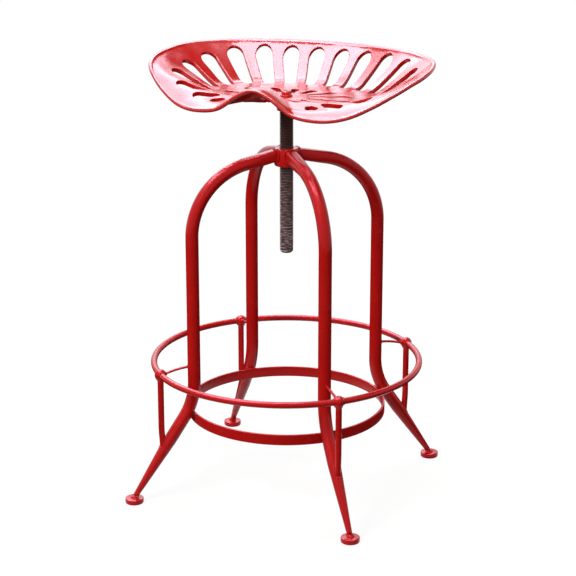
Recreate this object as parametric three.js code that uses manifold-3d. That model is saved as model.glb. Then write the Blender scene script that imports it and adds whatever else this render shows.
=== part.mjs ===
// Tractor seat stool: a cast, slotted pan seat on a threaded post that winds up and down in a hub,
// four swept legs, a round footrest ring on brackets and a flat band that ties the legs together.
// Lengths are in millimetres, angles in degrees. Z is up, the floor is z = 0, the post stands on the
// Z axis and the front of the stool faces -Y. Left and right are as seen from the front.

import * as THREE from "three";
import { mergeVertices } from "three/addons/utils/BufferGeometryUtils.js";
import Module from "manifold-3d";

const wasm = await Module();
wasm.setup();

// Fits shared by every piece
const fitGap = 0.3;
const cutOverrun = 2;

// Seat pan, seen from above: how far the rim reaches from the post, at angles from the back
const panThickness = 5.5;
const backReach = 176;
const quarterReach = 182.5;
const shoulderReach = 203;
const wingReach = 223;
const hipReach = 219;
const thighReach = 167;
const pommelFootReach = 132;
const pommelFlankReach = 118;
const pommelReach = 116.5;

// Seat pan, seen from the side: how far the rim stands above the seat's floor at the same angles
const backRise = 58;
const quarterRise = 58.5;
const shoulderRise = 59;
const wingRise = 57;
const hipRise = 41.5;
const thighRise = -5.5;
const pommelFootRise = -4.5;
const pommelFlankRise = 19;
const pommelRise = 29.5;
const floorFall = 4;
const thighCrown = 7;
const gradientStep = 0.5;

// Slots of the seat pan
const slotWidth = 27;
const slotInnerReach = 130;
const slotOuterRib = 14;
const slotFrontRib = 8;
const slotInnerRib = 13;
const backFlange = 7;
const wingFlange = 34;
const thighFlange = 30;
const innerSlotWidth = 14;
const innerSlotStart = 36;
const innerSlotBackEnd = 72;
const innerSlotSideEnd = 106;
const innerSlotOuterRib = 12;
const innerSlotInnerRib = 9;

// Middle of the seat: pad, boss, bolt and washer
const padRadius = 25;
const padThickness = 8;
const bossDiameter = 30;
const bossHeight = 14;
const bossWeb = 4.5;
const bossChamfer = 1.5;
const boltDiameter = 8;
const boltLength = 27;
const boltHeadAcrossFlats = 13;
const boltHeadHeight = 5.5;
const washerDiameter = 19;
const washerThickness = 1.8;

// Threaded post and hub
const postDiameter = 21.4;
const postBelowHub = 138;
const postChamfer = 3;
const hubDiameter = 38;
const hubHeight = 28;
const hubAboveLegs = 7;
const hubChamfer = 3;
const seatAboveHub = 79;

// Legs
const legDiameter = 20;
const legFootDiameter = 9;
const legTopHeight = 541;
const legDropRadius = 155;
const legShoulderRadius = 110;
const legFlareRadius = 100;
const legTaperHeight = 98;

// Feet
const footRadius = 257;
const footDiameter = 29;
const footThickness = 8;
const footEdgeRound = 2;
const footBossDiameter = 15;
const footBossHeight = 3;

// Footrest ring, its eyes, struts and stays
const ringStandOff = 55;
const ringRodDiameter = 10;
const ringHeight = 206;
const eyeDiameter = 18;
const strutDiameter = 9.6;
const stayDiameter = 4;
const stayRise = 9;

// Lower band
const bandTopHeight = 137.4;
const bandWidth = 16.8;
const bandThickness = 3.5;

// Angles, powers and shares, which have no length
const legSlope = 11.5;
const legFlare = 34.5;
const seatTurn = -2.2;
const slotPitch = 15.4;
const slotPitchLoss = 0.12;
const slotCount = 10;
const slotInnerShare = 0.66;
const slotFrontInnerShare = 0.81;
const innerSlotCount = 14;
const innerSlotEndShare = 0.5;
const flangeWidens = [40, 98];
const flangeNarrows = [105, 130];
const slotShortens = [115, 135];
const crownStarts = [95, 135];
const rimAngles = [0, 28, 52, 76, 100, 126, 150, 166, 180];
const wallFootShares = { back: 0.72, side: 0.57, front: 0.25 };
const wallFilletShare = 0.055;
const crownRiseShares = [0.2, 0.6];
const crownRollShare = 0.82;
const edgeRoundShare = 0.35;
const panRingShares = [0.2, 0.42, 0.56, 0.66, 0.75, 0.85, 0.93, 1];

// Facet counts
const rimSteps = 288;
const panSides = 72;
const slotArcSteps = 4;
const edgeSteps = 3;
const tubeSides = 10;
const rodSides = 8;
const turnedSides = 24;
const smallSides = 16;
const eyeSteps = 8;
const ringSides = 64;
const bendSteps = 7;

const enamelRed = 0xb3201c;
const enamel = { color: enamelRed, roughness: 0.28, metalness: 0 };
const steel = { color: 0x2b2320, roughness: 0.5, metalness: 0.8 };

const radians = THREE.MathUtils.degToRad;

// Solids: from a three.js geometry to a closed solid and back

function toSolid(geometry) {
  const bare = geometry.clone();
  for (const name of Object.keys(bare.attributes)) {
    if (name !== "position") bare.deleteAttribute(name);
  }
  const merged = mergeVertices(bare);
  return new wasm.Manifold(new wasm.Mesh({
    numProp: 3,
    vertProperties: new Float32Array(merged.attributes.position.array),
    triVerts: new Uint32Array(merged.index.array),
  }));
}

function toGeometry(solid) {
  const mesh = solid.getMesh();
  const geometry = new THREE.BufferGeometry();
  geometry.setAttribute("position", new THREE.BufferAttribute(mesh.vertProperties, 3));
  geometry.setIndex(new THREE.BufferAttribute(mesh.triVerts, 1));
  return geometry;
}

function indexedGeometry(points, triangles) {
  const geometry = new THREE.BufferGeometry();
  const numbers = points.flatMap((p) => p.toArray());
  geometry.setAttribute("position", new THREE.Float32BufferAttribute(numbers, 3));
  geometry.setIndex(triangles.flat());
  return geometry;
}

// Turned pieces: a profile of [radius, height] corners spun about Z

function turned(profile, sides) {
  const geometry = new THREE.LatheGeometry(profile.map(([r, z]) => new THREE.Vector2(r, z)), sides);
  return geometry.rotateX(Math.PI / 2);
}

function cylinder(radius, bottom, top, sides) {
  return turned([[0, bottom], [radius, bottom], [radius, top], [0, top]], sides);
}

// Heights of the hub, the post and the seat, each from what carries it

const hubTopHeight = legTopHeight + hubAboveLegs;
const hubBottomHeight = hubTopHeight - hubHeight;
const postBottomHeight = hubBottomHeight - postBelowHub;
const seatFloorHeight = hubTopHeight + seatAboveHub;
const padTop = seatFloorHeight + (padThickness - panThickness) / 2;
const padBottom = padTop - padThickness;
const bossTop = padBottom - fitGap;
const bossBottom = bossTop - bossHeight;
const socketTop = bossTop - bossWeb;
const postTop = socketTop - fitGap;
const boltHeadBottom = padTop + washerThickness + 2 * fitGap;
const boltBottom = boltHeadBottom - boltLength;

// Seat pan: the rim is one smooth closed curve through the stations, the same on both sides. Here and
// in the plate that it is cut from, +Y is the back of the seat.

function rimCurve() {
  const reaches = [backReach, quarterReach, shoulderReach, wingReach, hipReach, thighReach,
    pommelFootReach, pommelFlankReach, pommelReach];
  const rises = [backRise, quarterRise, shoulderRise, wingRise, hipRise, thighRise,
    pommelFootRise, pommelFlankRise, pommelRise];
  const station = (i, side) => {
    const angle = radians(rimAngles[i]) * side;
    return new THREE.Vector3(reaches[i] * Math.sin(angle), reaches[i] * Math.cos(angle), rises[i]);
  };
  const last = rimAngles.length - 1;
  const right = rimAngles.map((_, i) => station(i, 1));
  const left = rimAngles.slice(1, last).map((_, i) => station(last - 1 - i, -1));
  return new THREE.CatmullRomCurve3([...right, ...left], true, "centripetal");
}

const rimPoints = rimCurve().getPoints(2 * rimSteps);
const rimTable = rimPoints.slice(0, rimSteps + 1)
  .map((p) => ({ angle: Math.atan2(p.x, p.y), reach: Math.hypot(p.x, p.y), rise: p.z }));

function rimAt(angle) {
  const turn = Math.abs(Math.atan2(Math.sin(angle), Math.cos(angle)));
  let i = 1;
  while (i < rimTable.length - 1 && rimTable[i].angle < turn) i += 1;
  const [a, b] = [rimTable[i - 1], rimTable[i]];
  const along = THREE.MathUtils.clamp((turn - a.angle) / (b.angle - a.angle), 0, 1);
  return { reach: a.reach + (b.reach - a.reach) * along, rise: a.rise + (b.rise - a.rise) * along };
}

// Height of the dish over a place in plan. The floor falls a little to the back, the wall leaves it at
// a foot with a fillet and runs straight to the rim, and the thighs lie on a low crown that rolls
// down to the rim.

function dishHeight(x, y) {
  const angle = Math.atan2(x, y);
  const rim = rimAt(angle);
  const share = Math.hypot(x, y) / rim.reach;
  const fall = floorFall / backReach;
  const { back, side, front } = wallFootShares;
  const even = (back + front) / 2;
  const foot = (even + side) / 2 + (back - front) / 2 * Math.cos(angle)
    + (even - side) / 2 * Math.cos(2 * angle);
  const climb = (s) => (Math.hypot(s - foot, wallFilletShare) + s - foot) / 2;
  const wall = (climb(share) - climb(0)) / (climb(1) - climb(0));
  const thigh = THREE.MathUtils.smoothstep(Math.abs(angle), ...crownStarts.map(radians));
  const roll = (Math.max(share - crownRollShare, 0) / (1 - crownRollShare)) ** 2;
  const crown = thighCrown * thigh * (THREE.MathUtils.smoothstep(share, ...crownRiseShares) - roll);
  return seatFloorHeight - fall * y + crown + (rim.rise + fall * rim.reach * Math.cos(angle)) * wall;
}

// The pan is cut as a flat plate and then pressed to the dish: each point of the plate goes to the
// dish under it, and its depth in the plate becomes depth square to the dish.

function press(geometry) {
  const place = geometry.attributes.position;
  for (let i = 0; i < place.count; i += 1) {
    const [x, y, depth] = [place.getX(i), place.getY(i), place.getZ(i)];
    const slopeX = dishHeight(x + gradientStep, y) - dishHeight(x - gradientStep, y);
    const slopeY = dishHeight(x, y + gradientStep) - dishHeight(x, y - gradientStep);
    const up = new THREE.Vector3(-slopeX, -slopeY, 2 * gradientStep).normalize();
    const point = new THREE.Vector3(x, y, dishHeight(x, y)).addScaledVector(up, depth);
    place.setXYZ(i, point.x, point.y, point.z);
  }
  return geometry;
}

function panPlate() {
  const points = [new THREE.Vector3()];
  const rows = [];
  const addRow = (share, edge, depth) => {
    rows.push(points.length);
    for (let i = 0; i < panSides; i += 1) {
      const angle = i * 2 * Math.PI / panSides;
      const reach = rimAt(angle).reach * share + edge;
      points.push(new THREE.Vector3(reach * Math.sin(angle), reach * Math.cos(angle), depth));
    }
  };
  for (const share of panRingShares) addRow(share, 0, 0);
  for (let k = 1; k < edgeSteps; k += 1) {
    const sweep = Math.PI * k / edgeSteps;
    addRow(1, Math.sin(sweep) * panThickness * edgeRoundShare, (Math.cos(sweep) - 1) * panThickness / 2);
  }
  for (const share of [...panRingShares].reverse()) addRow(share, 0, -panThickness);
  const bottom = points.push(new THREE.Vector3(0, 0, -panThickness)) - 1;
  const triangles = [];
  for (let i = 0; i < panSides; i += 1) {
    const j = (i + 1) % panSides;
    triangles.push([0, rows[0] + j, rows[0] + i]);
    for (let k = 0; k < rows.length - 1; k += 1) {
      const [a, b, c, d] = [rows[k] + i, rows[k] + j, rows[k + 1] + i, rows[k + 1] + j];
      triangles.push([a, b, c], [b, d, c]);
    }
    triangles.push([bottom, rows.at(-1) + i, rows.at(-1) + j]);
  }
  return toSolid(indexedGeometry(points, triangles));
}

// A slot is a tapered opening with round ends, wide at the rim end, cut through the plate

function slotCutter(angle, innerEnd, outerEnd, innerWidth, outerWidth) {
  const outline = new THREE.Shape();
  outline.absarc(0, outerEnd - outerWidth / 2, outerWidth / 2, 0, Math.PI);
  outline.absarc(0, innerEnd + innerWidth / 2, innerWidth / 2, Math.PI, 2 * Math.PI);
  outline.closePath();
  const geometry = new THREE.ExtrudeGeometry(outline, {
    depth: panThickness + 2 * cutOverrun, bevelEnabled: false, curveSegments: slotArcSteps,
  });
  geometry.translate(0, 0, -panThickness - cutOverrun);
  return toSolid(geometry.rotateZ(-angle));
}

function ribbedWidth(reach, pitch, rib, widest) {
  return Math.min(widest, 2 * reach * Math.tan(pitch / 2) - rib);
}

function outerSlots() {
  const cutters = [];
  for (let i = 0; i < slotCount; i += 1) {
    const place = i + 0.5;
    const angle = radians(place * (slotPitch - slotPitchLoss * place));
    const pitch = radians(slotPitch - 2 * slotPitchLoss * place);
    for (const side of [-1, 1]) {
      const widening = THREE.MathUtils.smoothstep(angle, ...flangeWidens.map(radians));
      const narrowing = THREE.MathUtils.smoothstep(angle, ...flangeNarrows.map(radians));
      const flange = backFlange + (wingFlange - backFlange) * widening
        - (wingFlange - thighFlange) * narrowing;
      const shortening = THREE.MathUtils.smoothstep(angle, ...slotShortens.map(radians));
      const innerShare = slotInnerShare + (slotFrontInnerShare - slotInnerShare) * shortening;
      const outerEnd = rimAt(angle).reach - flange;
      const innerEnd = Math.min(slotInnerReach, outerEnd * innerShare);
      const outerRib = slotOuterRib + (slotFrontRib - slotOuterRib) * narrowing;
      const innerRib = slotInnerRib + (slotFrontRib - slotInnerRib) * narrowing;
      cutters.push(slotCutter(side * angle, innerEnd, outerEnd,
        ribbedWidth(innerEnd, pitch, innerRib, slotWidth),
        ribbedWidth(outerEnd, pitch, outerRib, slotWidth)));
    }
  }
  return cutters;
}

function innerSlots() {
  const pitch = 2 * Math.PI / innerSlotCount;
  const cutters = [];
  for (let i = 0; i < innerSlotCount; i += 1) {
    const angle = (i + 0.5) * pitch;
    const oval = innerSlotBackEnd + (innerSlotSideEnd - innerSlotBackEnd) * Math.sin(angle) ** 2;
    const outerEnd = Math.min(oval, rimAt(angle).reach * innerSlotEndShare);
    cutters.push(slotCutter(angle, innerSlotStart, outerEnd,
      ribbedWidth(innerSlotStart, pitch, innerSlotInnerRib, innerSlotWidth),
      ribbedWidth(outerEnd, pitch, innerSlotOuterRib, innerSlotWidth)));
  }
  return cutters;
}

function seatPan() {
  let plate = panPlate();
  for (const cutter of [...outerSlots(), ...innerSlots()]) plate = plate.subtract(cutter);
  const pad = toSolid(cylinder(padRadius, padBottom, padTop, turnedSides));
  const pan = toSolid(press(toGeometry(plate))).add(pad);
  const hole = cylinder(boltDiameter / 2 + fitGap, padBottom - cutOverrun, padTop + cutOverrun, smallSides);
  return toGeometry(pan.subtract(toSolid(hole)));
}

// Boss under the pan: its socket turns on the top of the post

function seatBoss() {
  const outer = bossDiameter / 2;
  const socket = postDiameter / 2 + fitGap;
  const hole = boltDiameter / 2 + fitGap;
  return turned([
    [hole, socketTop], [socket, socketTop], [socket, bossBottom], [outer - bossChamfer, bossBottom],
    [outer, bossBottom + bossChamfer], [outer, bossTop - bossChamfer], [outer - bossChamfer, bossTop],
    [hole, bossTop], [hole, socketTop],
  ], turnedSides);
}

function seatWasher() {
  const hole = boltDiameter / 2 + fitGap;
  const bottom = padTop + fitGap;
  return turned([
    [hole, bottom], [washerDiameter / 2, bottom], [washerDiameter / 2, bottom + washerThickness],
    [hole, bottom + washerThickness], [hole, bottom],
  ], smallSides);
}

function seatBolt() {
  const shank = cylinder(boltDiameter / 2, boltBottom, boltHeadBottom + boltHeadHeight / 2, smallSides);
  const headRadius = boltHeadAcrossFlats / Math.sqrt(3);
  const head = cylinder(headRadius, boltHeadBottom, boltHeadBottom + boltHeadHeight, 6);
  return toGeometry(toSolid(shank).add(toSolid(head)));
}

// Threaded post: drilled at the top for the seat bolt, chamfered at the lower end

function threadedPost() {
  const outer = postDiameter / 2;
  const hole = boltDiameter / 2 + fitGap;
  const holeBottom = boltBottom - cutOverrun;
  return turned([
    [0, postBottomHeight], [outer - postChamfer, postBottomHeight], [outer, postBottomHeight + postChamfer],
    [outer, postTop], [hole, postTop], [hole, holeBottom], [0, holeBottom],
  ], turnedSides);
}

function hub() {
  const outer = hubDiameter / 2;
  const bore = postDiameter / 2 + fitGap;
  return turned([
    [bore, hubBottomHeight], [outer - hubChamfer, hubBottomHeight], [outer, hubBottomHeight + hubChamfer],
    [outer, hubTopHeight - hubChamfer], [outer - hubChamfer, hubTopHeight], [bore, hubTopHeight],
    [bore, hubBottomHeight],
  ], turnedSides);
}

// Leg: its centre line lies in the plane of x (outward) and z. It leaves the hub on a slight slope,
// bends down, drops straight, bends out again and runs straight to the foot.

const flareTangent = Math.tan(radians(legFlare));
const legEndHeight = footThickness + footBossHeight + fitGap;
const legLineAt = (height) => footRadius - (height - footThickness) * flareTangent;
const legHeightAt = (reach) => footThickness + (footRadius - reach) / flareTangent;
const flareCentreZ = legHeightAt(legDropRadius) + legFlareRadius * Math.tan(radians(legFlare) / 2);

function legLine() {
  const slope = radians(legSlope);
  const bendStartX = legDropRadius - legShoulderRadius * (1 - Math.sin(slope));
  const bendStartZ = legTopHeight - bendStartX * Math.tan(slope);
  const bendCentreZ = bendStartZ - legShoulderRadius * Math.cos(slope);
  const flare = radians(legFlare);
  const line = new THREE.Path();
  line.moveTo(0, legTopHeight);
  line.lineTo(bendStartX, bendStartZ);
  line.absarc(legDropRadius - legShoulderRadius, bendCentreZ, legShoulderRadius,
    Math.PI / 2 - slope, 0, true);
  line.lineTo(legDropRadius, flareCentreZ);
  line.absarc(legDropRadius + legFlareRadius, flareCentreZ, legFlareRadius,
    Math.PI, Math.PI + flare, false);
  line.lineTo(legLineAt(legTaperHeight), legTaperHeight);
  line.lineTo(legLineAt(legEndHeight), legEndHeight);
  return line.getPoints(bendSteps).filter((p, i, all) => i === 0 || p.distanceTo(all[i - 1]) > fitGap);
}

// A round tube round the leg's centre line, grown on every side by extra. It narrows below the taper
// height, and its last section is level, so that it stands flat on the foot.

function legTube(extra) {
  const line = legLine();
  const points = [];
  line.forEach((p, i) => {
    const before = line[Math.max(i - 1, 0)];
    const after = line[Math.min(i + 1, line.length - 1)];
    const along = new THREE.Vector2().subVectors(after, before).normalize();
    const taper = THREE.MathUtils.clamp((legTaperHeight - p.y) / (legTaperHeight - legEndHeight), 0, 1);
    const radius = (legDiameter + (legFootDiameter - legDiameter) * taper) / 2 + extra;
    const level = i === line.length - 1;
    const across = level ? new THREE.Vector2(-1 / along.y, 0) : new THREE.Vector2(-along.y, along.x);
    for (let k = 0; k < tubeSides; k += 1) {
      const turn = k * 2 * Math.PI / tubeSides;
      const offset = across.clone().multiplyScalar(radius * Math.cos(turn));
      points.push(new THREE.Vector3(p.x + offset.x, radius * Math.sin(turn), p.y + offset.y));
    }
  });
  const triangles = [];
  for (let i = 0; i < line.length - 1; i += 1) {
    for (let k = 0; k < tubeSides; k += 1) {
      const next = (k + 1) % tubeSides;
      const [a, b] = [i * tubeSides + k, i * tubeSides + next];
      triangles.push([a, a + tubeSides, b], [b, a + tubeSides, b + tubeSides]);
    }
  }
  const end = (line.length - 1) * tubeSides;
  for (let k = 1; k < tubeSides - 1; k += 1) triangles.push([0, k, k + 1], [end, end + k + 1, end + k]);
  return toSolid(indexedGeometry(points, triangles));
}

function leg() {
  const socket = hubDiameter / 2 + fitGap;
  const hubSpace = cylinder(socket, legTopHeight - legDiameter, legTopHeight + legDiameter, turnedSides);
  return toGeometry(legTube(0).subtract(toSolid(hubSpace)));
}

function foot() {
  const outer = footDiameter / 2;
  const boss = footBossDiameter / 2;
  const top = footThickness + footBossHeight;
  return turned([
    [0, 0], [outer - footEdgeRound, 0], [outer, footEdgeRound], [outer, footThickness - footEdgeRound],
    [outer - footEdgeRound, footThickness], [boss, footThickness], [boss, top], [0, top],
  ], smallSides);
}

// Footrest ring and what holds it: the ring stands off from the legs' straight drops, with a bored ball
// for an eye at each leg, a strut from the eye down to the leg's flare and a thin stay across to the leg

const ringRadius = legDropRadius + ringStandOff;

function footrestRing() {
  return new THREE.TorusGeometry(ringRadius, ringRodDiameter / 2, rodSides, ringSides)
    .translate(0, 0, ringHeight);
}

function ringEye() {
  const ball = eyeDiameter / 2;
  const mouth = Math.acos((ringRodDiameter / 2 + 2 * fitGap) / ball);
  const profile = [];
  for (let k = 0; k <= eyeSteps; k += 1) {
    const turn = mouth * (2 * k / eyeSteps - 1);
    profile.push([ball * Math.cos(turn), ball * Math.sin(turn)]);
  }
  return turned([...profile, profile[0]], smallSides).rotateX(Math.PI / 2)
    .translate(ringRadius, 0, ringHeight);
}

function eyeSpace() {
  const radius = eyeDiameter / 2 + fitGap;
  return toSolid(cylinder(radius, -eyeDiameter, eyeDiameter, smallSides).rotateX(Math.PI / 2)
    .translate(ringRadius, 0, ringHeight));
}

function strut() {
  const rod = cylinder(strutDiameter / 2, legHeightAt(ringRadius), ringHeight, tubeSides);
  const solid = toSolid(rod.translate(ringRadius, 0, 0));
  return toGeometry(solid.subtract(eyeSpace()).subtract(legTube(fitGap)));
}

function stay() {
  const from = new THREE.Vector3(ringRadius, 0, ringHeight);
  const to = new THREE.Vector3(legDropRadius, 0, ringHeight + stayRise);
  const along = new THREE.Vector3().subVectors(to, from);
  const rod = cylinder(stayDiameter / 2, 0, along.length(), rodSides);
  const up = new THREE.Vector3(0, 0, 1);
  const turn = new THREE.Quaternion().setFromUnitVectors(up, along.clone().normalize());
  const solid = toSolid(rod.applyQuaternion(turn).translate(...from.toArray()));
  return toGeometry(solid.subtract(eyeSpace()).subtract(legTube(fitGap)));
}

// Lower band: its top edge lies against the inner sides of the legs, where they start to flare

function legInsideAt(height) {
  const flare = radians(legFlare);
  const bend = legFlareRadius + legDiameter / 2;
  const drop = Math.max(flareCentreZ - height, 0);
  if (drop > bend * Math.sin(flare)) return legLineAt(height) - legDiameter / 2 / Math.cos(flare);
  return legDropRadius + legFlareRadius - Math.sqrt(bend ** 2 - drop ** 2);
}

function lowerBand() {
  const outer = legInsideAt(bandTopHeight) - fitGap;
  const inner = outer - bandThickness;
  const bottom = bandTopHeight - bandWidth;
  return turned([
    [inner, bottom], [outer, bottom], [outer, bandTopHeight], [inner, bandTopHeight], [inner, bottom],
  ], ringSides);
}

// Assembly

function piece(name, geometry, look) {
  const flat = geometry.index ? geometry.toNonIndexed() : geometry;
  flat.computeVertexNormals();
  const mesh = new THREE.Mesh(flat, new THREE.MeshStandardMaterial(look));
  mesh.name = name;
  return mesh;
}

const stool = new THREE.Group();
const seat = new THREE.Group();
seat.rotation.z = radians(seatTurn);
seat.add(piece("seat_pan", seatPan(), enamel));
seat.add(piece("seat_boss", seatBoss(), enamel));
seat.add(piece("seat_bolt", seatBolt(), enamel));
seat.add(piece("seat_washer", seatWasher(), enamel));
stool.add(seat);
stool.add(piece("threaded_post", threadedPost(), steel));
stool.add(piece("hub", hub(), enamel));
stool.add(piece("footrest_ring", footrestRing(), enamel));
stool.add(piece("lower_band", lowerBand(), enamel));

const corners = { rear_right: 45, rear_left: 135, front_left: 225, front_right: 315 };
for (const [corner, azimuth] of Object.entries(corners)) {
  const side = new THREE.Group();
  side.rotation.z = radians(azimuth);
  const standing = piece(`foot_${corner}`, foot(), enamel);
  standing.position.x = footRadius;
  side.add(standing);
  side.add(piece(`leg_${corner}`, leg(), enamel));
  side.add(piece(`strut_${corner}`, strut(), enamel));
  side.add(piece(`ring_eye_${corner}`, ringEye(), enamel));
  side.add(piece(`stay_rod_${corner}`, stay(), enamel));
  stool.add(side);
}

export default stool;
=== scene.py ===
"""Tractor seat stool: a slotted cast seat pan on a threaded post, on four swept tube legs.

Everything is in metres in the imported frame: +Z is up, the floor is z = 0, the post stands on the
Z axis and the front of the stool faces -Y. Left and right are as seen from the front.
"""

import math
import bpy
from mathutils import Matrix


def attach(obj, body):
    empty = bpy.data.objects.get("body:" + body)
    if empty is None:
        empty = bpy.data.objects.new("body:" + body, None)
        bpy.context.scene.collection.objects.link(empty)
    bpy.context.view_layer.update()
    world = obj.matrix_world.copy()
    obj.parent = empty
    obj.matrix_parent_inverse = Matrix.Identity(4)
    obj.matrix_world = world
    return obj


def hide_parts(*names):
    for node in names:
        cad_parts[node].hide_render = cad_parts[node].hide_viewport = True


bl_info = {
    "name": "Tractor Seat Stool",
    "version": (1, 0, 0),
    "blender": (4, 5, 0),
    "location": "3D View > Sidebar > Stool",
    "description": "Builds an enamelled tractor seat stool piece by piece around its packed frame",
    "category": "Add Mesh",
}

import bmesh
import bpy
import numpy as np
from bpy.props import FloatProperty, FloatVectorProperty, IntProperty, PointerProperty
from mathutils import Vector
from mathutils.geometry import delaunay_2d_cdt

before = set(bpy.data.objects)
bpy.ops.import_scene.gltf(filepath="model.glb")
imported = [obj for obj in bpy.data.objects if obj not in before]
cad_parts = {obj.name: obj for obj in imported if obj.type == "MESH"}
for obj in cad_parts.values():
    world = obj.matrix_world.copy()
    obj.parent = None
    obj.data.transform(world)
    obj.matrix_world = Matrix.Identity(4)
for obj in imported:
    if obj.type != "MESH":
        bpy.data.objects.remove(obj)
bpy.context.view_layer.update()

TURN = 2 * math.pi

# Bearings of the four legs, in degrees from +X
CORNERS = {"rear_right": 45, "rear_left": 135, "front_left": 225, "front_right": 315}

# Angles on the seat from straight back: the stations of the rim, and the stretches over which the
# flange widens and narrows again, the long slots shorten and the thigh rests rise
RIM_ANGLES = np.radians([0, 28, 52, 76, 100, 126, 150, 166, 180])
FLANGE_WIDENS = np.radians([40, 98])
FLANGE_NARROWS = np.radians([105, 130])
SLOT_SHORTENS = np.radians([115, 135])
CROWN_STARTS = np.radians([95, 135])

# Faces round each kind of piece
SIDES = {"collar": 72, "disc": 56, "hoop": 256, "eye": 48, "hexagon": 96, "thread": 44, "tube": 40,
         "rod": 24, "stay": 16, "seam": 14, "bead": 12, "card": 96}

# Points along each kind of line
POINTS = {"edge": 6, "band_edge": 5, "slot_end": 15, "rim": 540, "rim_section": 13, "leg_part": 40,
          "eye": 25, "strut": 24, "stay": 20, "wide_weld": 90, "weld": 60, "stay_weld": 48,
          "seam": 40}

# How far a strut's lower end is set inwards
STRUT_SET = 0.0016


def linear(hex_colour):
    """sRGB hex to linear red, green, blue and alpha."""
    srgb = [int(hex_colour[i:i + 2], 16) / 255 for i in (1, 3, 5)]
    return [c / 12.92 if c <= 0.04045 else ((c + 0.055) / 1.055) ** 2.4 for c in srgb] + [1.0]


def length(name, description, default):
    return FloatProperty(name=name, description=description, default=default, unit="LENGTH",
                         subtype="DISTANCE", precision=4)


def lengths(name, description, *default):
    return FloatVectorProperty(name=name, description=description, default=default,
                               size=len(default), unit="LENGTH", precision=4)


def angle(name, description, degrees):
    return FloatProperty(name=name, description=description, default=math.radians(degrees),
                         unit="ROTATION", subtype="ANGLE", precision=4)


def share(name, description, default):
    return FloatProperty(name=name, description=description, default=default, min=0, max=1,
                         subtype="FACTOR")


def colour(name, description, hex_colour):
    return FloatVectorProperty(name=name, description=description, default=linear(hex_colour),
                               size=4, min=0, max=1, subtype="COLOR")


# Sizes and colours


class SeatSizes(bpy.types.PropertyGroup):
    """The cast pan, its boss under the middle and its bolt"""
    floor_height: length("Floor height", "Top of the pan over the post", 0.627)
    turn: angle("Turn", "How far the seat is turned from straight ahead", -2.2)
    thickness: length("Thickness", "Thickness of the casting", 0.0055)
    rim_reach: lengths("Rim reach", "Distance of the rim from the post, from the back to the front",
                       0.176, 0.1825, 0.203, 0.223, 0.219, 0.167, 0.132, 0.118, 0.1165)
    rim_rise: lengths("Rim rise", "Height of the rim over the floor, from the back to the front",
                      0.058, 0.0585, 0.059, 0.057, 0.0415, -0.0055, -0.0045, 0.019, 0.0295)
    floor_fall: length("Floor fall", "How far the floor falls from the post to the back", 0.004)
    thigh_crown: length("Thigh crown", "How high the thigh rests swell over the floor", 0.007)
    slot_count: IntProperty(name="Slots", description="Long slots on each side", default=10)
    slot_pitch: angle("Slot pitch", "Angle from one long slot to the next at the back", 15.4)
    slot_crowding: angle("Slot crowding", "How much the pitch loses at each slot", 0.12)
    slot_width: length("Slot width", "Widest slot", 0.027)
    slot_inner_reach: length("Slot inner end", "Farthest inner end of a long slot", 0.130)
    slot_ribs: lengths("Ribs", "Metal between slots at their outer, front and inner ends",
                       0.014, 0.008, 0.013)
    flanges: lengths("Flanges", "Metal from slot to rim at the back, the wings and the thighs",
                     0.007, 0.034, 0.030)
    small_slot_count: IntProperty(name="Small slots", description="Slots in the floor", default=14)
    small_slot_width: length("Small slot width", "Widest slot in the floor", 0.014)
    small_slot_start: length("Small slot start", "Inner end of the slots in the floor", 0.036)
    small_slot_ends: lengths("Small slot ends", "Outer ends at the back and at the sides",
                             0.072, 0.106)
    small_slot_ribs: lengths("Small ribs", "Metal between small slots, outside and inside",
                             0.012, 0.009)
    edge_round: length("Edge round", "Rounding of a slot's edge", 0.0009)
    collar: length("Slot collar", "Width of the even strip round each slot", 0.0024)
    rim_strip: length("Rim strip", "Width of the even strip inside the rim", 0.0034)
    rim_shoulder: share("Rim shoulder", "Share of the rim strip that is part of the rounding", 0.75)
    rim_bulge: length("Rim bulge", "How far the round rim stands out", 0.0019)
    slot_lip: length("Slot lip", "How far a slot's edge stands out under the pan", 0.0015)
    rim_bead: length("Rim bead", "How much thicker the rim is on each side", 0.0005)
    web_step: length("Web step", "Spacing of the points of the pressed plate", 0.003)
    waviness: length("Waviness", "Unevenness of the sand casting", 0.00018)
    pad_radius: length("Pad radius", "Thick middle of the pan", 0.025)
    pad_thickness: length("Pad thickness", "Thickness of the middle", 0.008)
    boss_radius: length("Boss radius", "Collar under the pan", 0.015)
    boss_height: length("Boss height", "Height of the collar", 0.014)
    boss_web: length("Boss web", "Metal over the post's top", 0.0045)
    bolt_width: length("Bolt width", "Across the flats of the bolt's head", 0.013)
    bolt_height: length("Bolt height", "Height of the bolt's head", 0.0055)
    bolt_radius: length("Bolt radius", "Radius of the bolt's shank", 0.004)
    bolt_length: length("Bolt length", "Length of the bolt's shank", 0.027)
    bolt_hole_radius: length("Bolt hole", "Radius of the holes for the bolt", 0.0043)
    bolt_hole_spare: length("Bolt hole spare", "How far the hole in the post goes on", 0.0014)
    washer_radius: length("Washer radius", "Outer radius of the washer", 0.0095)
    washer_height: length("Washer height", "Thickness of the washer", 0.0018)


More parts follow.
